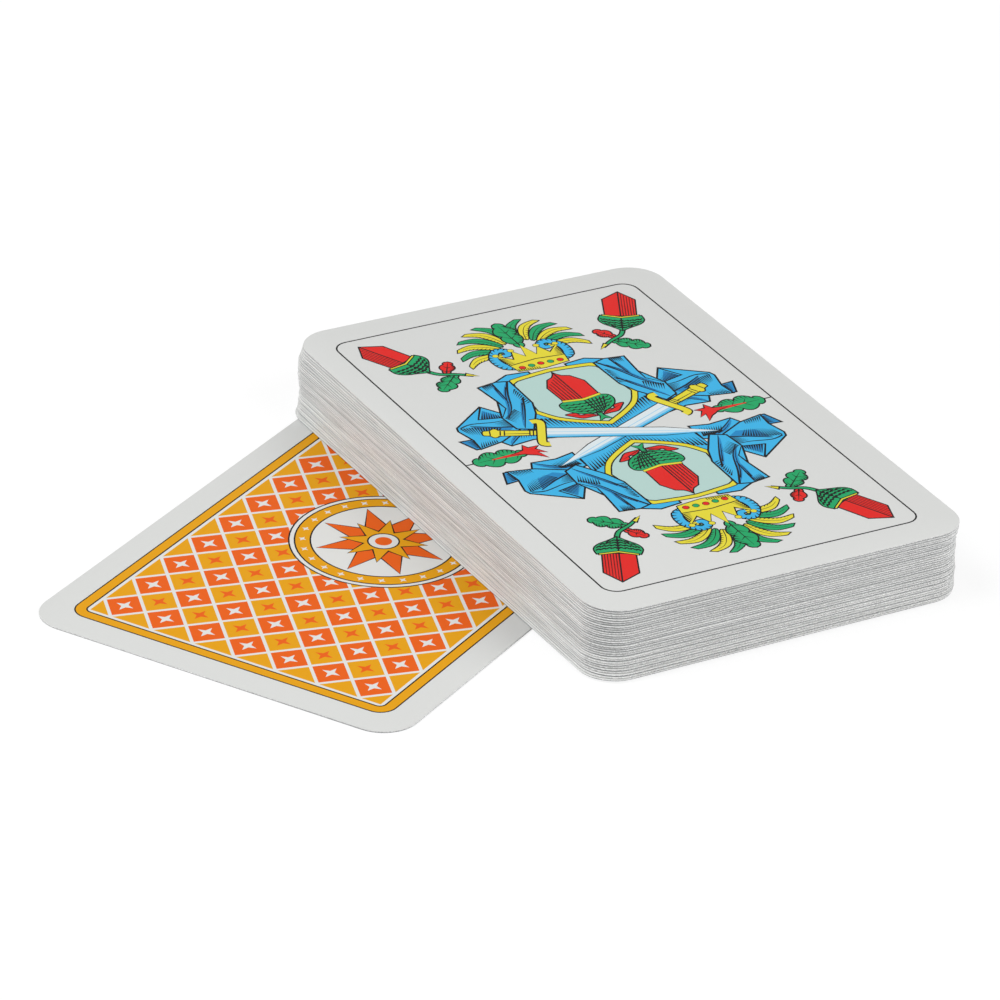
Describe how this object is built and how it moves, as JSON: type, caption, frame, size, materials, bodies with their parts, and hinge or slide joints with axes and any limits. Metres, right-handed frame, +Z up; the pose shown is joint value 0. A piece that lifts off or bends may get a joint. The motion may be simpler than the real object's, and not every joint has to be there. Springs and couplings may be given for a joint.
{
  "type": "playing card deck",
  "caption": "Deck of German-suited skat cards: a squared-up stack, face up, on one loose card lying face down.",
  "frame": {"origin": "on the table, under the middle of the top card; the underside of the loose card lies on it", "axes": "+X across the top card to the right, +Y along the top card away from the player, +Z up"},
  "size_m": [0.1187, 0.0951, 0.0105],
  "materials": {
    "card": "varnished board",
    "loose_card": "varnished board, printed back"
  },
  "bodies": {
    "ace_of_acorns": {"ace_of_acorns": "card"},
    "king_of_acorns": {"king_of_acorns": "card"},
    "ober_of_acorns": {"ober_of_acorns": "card"},
    "unter_of_acorns": {"unter_of_acorns": "card"},
    "ten_of_acorns": {"ten_of_acorns": "card"},
    "nine_of_acorns": {"nine_of_acorns": "card"},
    "eight_of_acorns": {"eight_of_acorns": "card"},
    "seven_of_acorns": {"seven_of_acorns": "card"},
    "ace_of_leaves": {"ace_of_leaves": "card"},
    "king_of_leaves": {"king_of_leaves": "card"},
    "ober_of_leaves": {"ober_of_leaves": "card"},
    "unter_of_leaves": {"unter_of_leaves": "card"},
    "ten_of_leaves": {"ten_of_leaves": "card"},
    "nine_of_leaves": {"nine_of_leaves": "card"},
    "eight_of_leaves": {"eight_of_leaves": "card"},
    "seven_of_leaves": {"seven_of_leaves": "card"},
    "ace_of_hearts": {"ace_of_hearts": "card"},
    "king_of_hearts": {"king_of_hearts": "card"},
    "ober_of_hearts": {"ober_of_hearts": "card"},
    "unter_of_hearts": {"unter_of_hearts": "card"},
    "ten_of_hearts": {"ten_of_hearts": "card"},
    "nine_of_hearts": {"nine_of_hearts": "card"},
    "eight_of_hearts": {"eight_of_hearts": "card"},
    "seven_of_hearts": {"seven_of_hearts": "card"},
    "ace_of_bells": {"ace_of_bells": "card"},
    "king_of_bells": {"king_of_bells": "card"},
    "ober_of_bells": {"ober_of_bells": "card"},
    "unter_of_bells": {"unter_of_bells": "card"},
    "ten_of_bells": {"ten_of_bells": "card"},
    "nine_of_bells": {"nine_of_bells": "card"},
    "eight_of_bells": {"eight_of_bells": "card"},
    "seven_of_bells": {"seven_of_bells": "loose_card"}
  },
  "joints": [
    {"name": "seven_of_bells_slide", "type": "slide", "parent": "eight_of_bells", "child": "seven_of_bells", "axis": [-0.8572, -0.515, 0], "range_m": [0, 0.06]},
    {"name": "ace_of_acorns_slide", "type": "slide", "parent": "eight_of_bells", "child": "ace_of_acorns", "axis": [-1, 0, 0], "range_m": [0, 0.07]},
    {"name": "king_of_acorns_slide", "type": "slide", "parent": "eight_of_bells", "child": "king_of_acorns", "axis": [-1, 0, 0], "range_m": [0, 0.07]},
    {"name": "ober_of_acorns_slide", "type": "slide", "parent": "eight_of_bells", "child": "ober_of_acorns", "axis": [-1, 0, 0], "range_m": [0, 0.07]},
    {"name": "unter_of_acorns_slide", "type": "slide", "parent": "eight_of_bells", "child": "unter_of_acorns", "axis": [1, 0, 0], "range_m": [0, 0.07]},
    {"name": "ten_of_acorns_slide", "type": "slide", "parent": "eight_of_bells", "child": "ten_of_acorns", "axis": [1, 0, 0], "range_m": [0, 0.07]},
    {"name": "nine_of_acorns_slide", "type": "slide", "parent": "eight_of_bells", "child": "nine_of_acorns", "axis": [1, 0, 0], "range_m": [0, 0.07]},
    {"name": "eight_of_acorns_slide", "type": "slide", "parent": "eight_of_bells", "child": "eight_of_acorns", "axis": [0, -1, 0], "range_m": [0, 0.1]},
    {"name": "seven_of_acorns_slide", "type": "slide", "parent": "eight_of_bells", "child": "seven_of_acorns", "axis": [0, -1, 0], "range_m": [0, 0.1]},
    {"name": "ace_of_leaves_slide", "type": "slide", "parent": "eight_of_bells", "child": "ace_of_leaves", "axis": [0, -1, 0], "range_m": [0, 0.1]},
    {"name": "king_of_leaves_slide", "type": "slide", "parent": "eight_of_bells", "child": "king_of_leaves", "axis": [-1, 0, 0], "range_m": [0, 0.07]},
    {"name": "ober_of_leaves_slide", "type": "slide", "parent": "eight_of_bells", "child": "ober_of_leaves", "axis": [-1, 0, 0], "range_m": [0, 0.07]},
    {"name": "unter_of_leaves_slide", "type": "slide", "parent": "eight_of_bells", "child": "unter_of_leaves", "axis": [-1, 0, 0], "range_m": [0, 0.07]},
    {"name": "ten_of_leaves_slide", "type": "slide", "parent": "eight_of_bells", "child": "ten_of_leaves", "axis": [-1, 0, 0], "range_m": [0, 0.07]},
    {"name": "nine_of_leaves_slide", "type": "slide", "parent": "eight_of_bells", "child": "nine_of_leaves", "axis": [1, 0, 0], "range_m": [0, 0.07]},
    {"name": "eight_of_leaves_slide", "type": "slide", "parent": "eight_of_bells", "child": "eight_of_leaves", "axis": [1, 0, 0], "range_m": [0, 0.07]},
    {"name": "seven_of_leaves_slide", "type": "slide", "parent": "eight_of_bells", "child": "seven_of_leaves", "axis": [1, 0, 0], "range_m": [0, 0.07]},
    {"name": "ace_of_hearts_slide", "type": "slide", "parent": "eight_of_bells", "child": "ace_of_hearts", "axis": [1, 0, 0], "range_m": [0, 0.07]},
    {"name": "king_of_hearts_slide", "type": "slide", "parent": "eight_of_bells", "child": "king_of_hearts", "axis": [0, -1, 0], "range_m": [0, 0.1]},
    {"name": "ober_of_hearts_slide", "type": "slide", "parent": "eight_of_bells", "child": "ober_of_hearts", "axis": [0, -1, 0], "range_m": [0, 0.1]},
    {"name": "unter_of_hearts_slide", "type": "slide", "parent": "eight_of_bells", "child": "unter_of_hearts", "axis": [0, -1, 0], "range_m": [0, 0.1]},
    {"name": "ten_of_hearts_slide", "type": "slide", "parent": "eight_of_bells", "child": "ten_of_hearts", "axis": [0, -1, 0], "range_m": [0, 0.1]},
    {"name": "nine_of_hearts_slide", "type": "slide", "parent": "eight_of_bells", "child": "nine_of_hearts", "axis": [-1, 0, 0], "range_m": [0, 0.07]},
    {"name": "eight_of_hearts_slide", "type": "slide", "parent": "eight_of_bells", "child": "eight_of_hearts", "axis": [-1, 0, 0], "range_m": [0, 0.07]},
    {"name": "seven_of_hearts_slide", "type": "slide", "parent": "eight_of_bells", "child": "seven_of_hearts", "axis": [-1, 0, 0], "range_m": [0, 0.07]},
    {"name": "ace_of_bells_slide", "type": "slide", "parent": "eight_of_bells", "child": "ace_of_bells", "axis": [1, 0, 0], "range_m": [0, 0.07]},
    {"name": "king_of_bells_slide", "type": "slide", "parent": "eight_of_bells", "child": "king_of_bells", "axis": [1, 0, 0], "range_m": [0, 0.07]},
    {"name": "ober_of_bells_slide", "type": "slide", "parent": "eight_of_bells", "child": "ober_of_bells", "axis": [1, 0, 0], "range_m": [0, 0.07]},
    {"name": "unter_of_bells_slide", "type": "slide", "parent": "eight_of_bells", "child": "unter_of_bells", "axis": [0, -1, 0], "range_m": [0, 0.1]},
    {"name": "ten_of_bells_slide", "type": "slide", "parent": "eight_of_bells", "child": "ten_of_bells", "axis": [0, -1, 0], "range_m": [0, 0.1]},
    {"name": "nine_of_bells_slide", "type": "slide", "parent": "eight_of_bells", "child": "nine_of_bells", "axis": [0, -1, 0], "range_m": [0, 0.1]}
  ]
}
